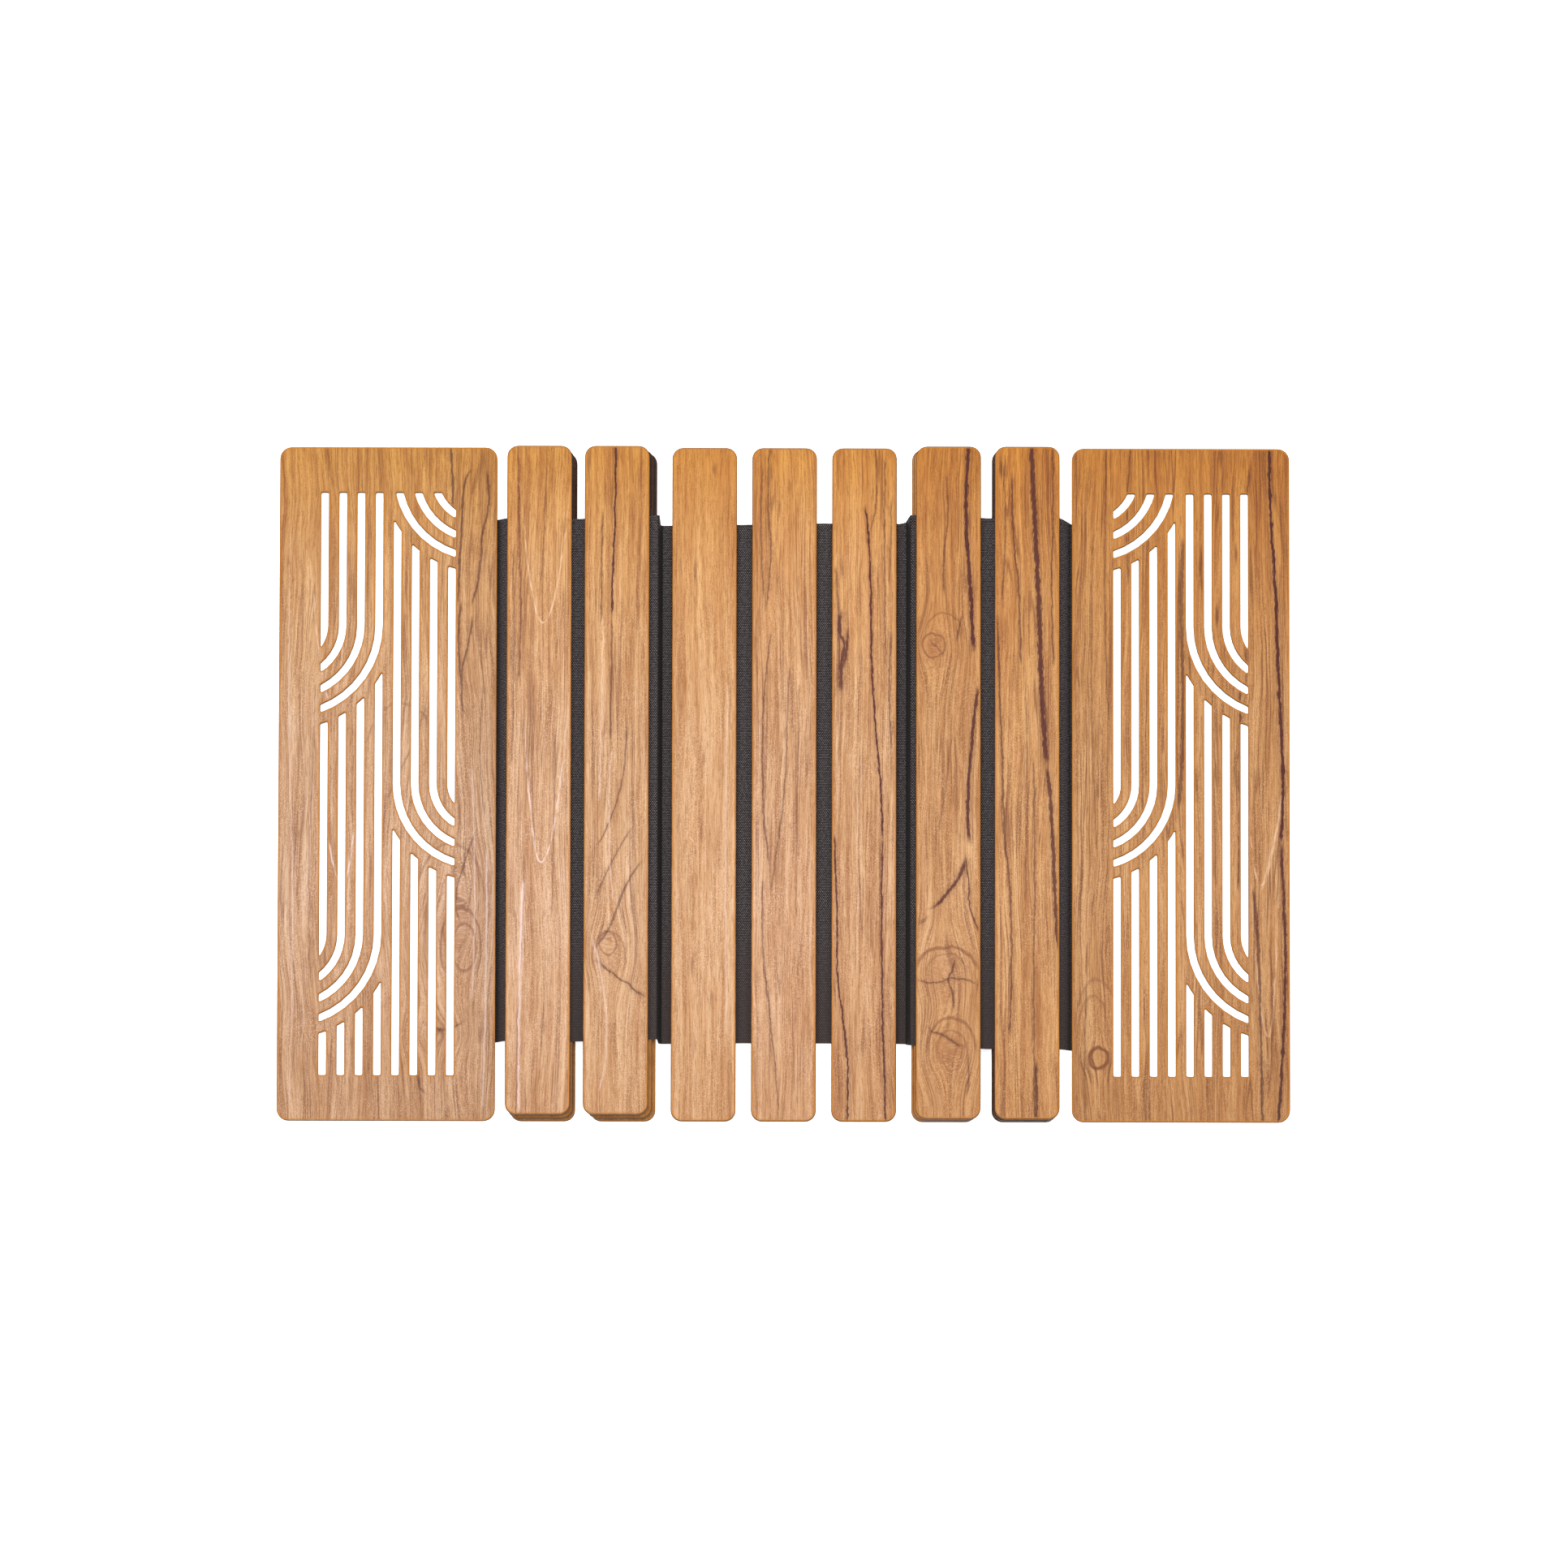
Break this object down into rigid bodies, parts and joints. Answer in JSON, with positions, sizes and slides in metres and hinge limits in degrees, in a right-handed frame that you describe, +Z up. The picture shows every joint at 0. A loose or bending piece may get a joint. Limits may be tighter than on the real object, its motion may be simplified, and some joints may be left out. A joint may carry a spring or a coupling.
{
  "type": "slatted bath mat",
  "caption": "Folding bath mat of wooden slats glued on a backing cloth, with a pierced panel at each end and raised slats beside each panel.",
  "frame": {"origin": "on the floor under the middle of the mat, at rest and flat", "axes": "+X along the mat, from the left end panel to the right one; +Y along the slats, to the back; +Z up"},
  "size_m": [0.6, 0.402, 0.0136],
  "materials": {
    "face_veneer": "oiled teak veneer, satin, with scorched cut edges",
    "riser_ply": "bare laser-cut plywood, scorched brown at its edges",
    "backing_cloth": "black woven synthetic cloth, matte with a slight sheen"
  },
  "bodies": {
    "left_panel_unit": {"end_left_panel": "face_veneer", "cloth_left_panel": "backing_cloth"},
    "slat_1_unit": {"slat_1": "face_veneer", "riser_lower_1": "riser_ply", "riser_upper_1": "riser_ply", "cloth_slat_1": "backing_cloth"},
    "slat_2_unit": {"slat_2": "face_veneer", "riser_lower_2": "riser_ply", "riser_upper_2": "riser_ply", "cloth_slat_2": "backing_cloth"},
    "slat_3_unit": {"slat_3": "face_veneer", "cloth_slat_3": "backing_cloth"},
    "slat_4_unit": {"slat_4": "face_veneer", "cloth_slat_4": "backing_cloth"},
    "slat_5_unit": {"slat_5": "face_veneer", "cloth_slat_5": "backing_cloth"},
    "slat_6_unit": {"slat_6": "face_veneer", "riser_lower_6": "riser_ply", "riser_upper_6": "riser_ply", "cloth_slat_6": "backing_cloth"},
    "slat_7_unit": {"slat_7": "face_veneer", "riser_lower_7": "riser_ply", "riser_upper_7": "riser_ply", "cloth_slat_7": "backing_cloth"},
    "right_panel_unit": {"end_right_panel": "face_veneer", "cloth_right_panel": "backing_cloth"}
  },
  "joints": [
    {"name": "fold_slat_3", "type": "hinge", "parent": "slat_4_unit", "child": "slat_3_unit", "pos_m": [-0.02375, 0, 0.00035], "axis": [0, 1, 0], "range_deg": [-100, 85]},
    {"name": "fold_slat_2", "type": "hinge", "parent": "slat_3_unit", "child": "slat_2_unit", "pos_m": [-0.07265, 0, 0.00465], "axis": [0, -1, 0], "range_deg": [-100, 60]},
    {"name": "fold_slat_1", "type": "hinge", "parent": "slat_2_unit", "child": "slat_1_unit", "pos_m": [-0.12095, 0, 0.00895], "axis": [0, 1, 0], "range_deg": [-50, 72]},
    {"name": "fold_left_panel", "type": "hinge", "parent": "slat_1_unit", "child": "left_panel_unit", "pos_m": [-0.16725, 0, 0.00465], "axis": [0, -1, 0], "range_deg": [-95, 75]},
    {"name": "fold_slat_5", "type": "hinge", "parent": "slat_4_unit", "child": "slat_5_unit", "pos_m": [0.02375, 0, 0.00035], "axis": [0, -1, 0], "range_deg": [-100, 85]},
    {"name": "fold_slat_6", "type": "hinge", "parent": "slat_5_unit", "child": "slat_6_unit", "pos_m": [0.07265, 0, 0.00465], "axis": [0, 1, 0], "range_deg": [-100, 60]},
    {"name": "fold_slat_7", "type": "hinge", "parent": "slat_6_unit", "child": "slat_7_unit", "pos_m": [0.11995, 0, 0.00895], "axis": [0, -1, 0], "range_deg": [-50, 72]},
    {"name": "fold_right_panel", "type": "hinge", "parent": "slat_7_unit", "child": "right_panel_unit", "pos_m": [0.16655, 0, 0.00465], "axis": [0, 1, 0], "range_deg": [-95, 75]}
  ]
}
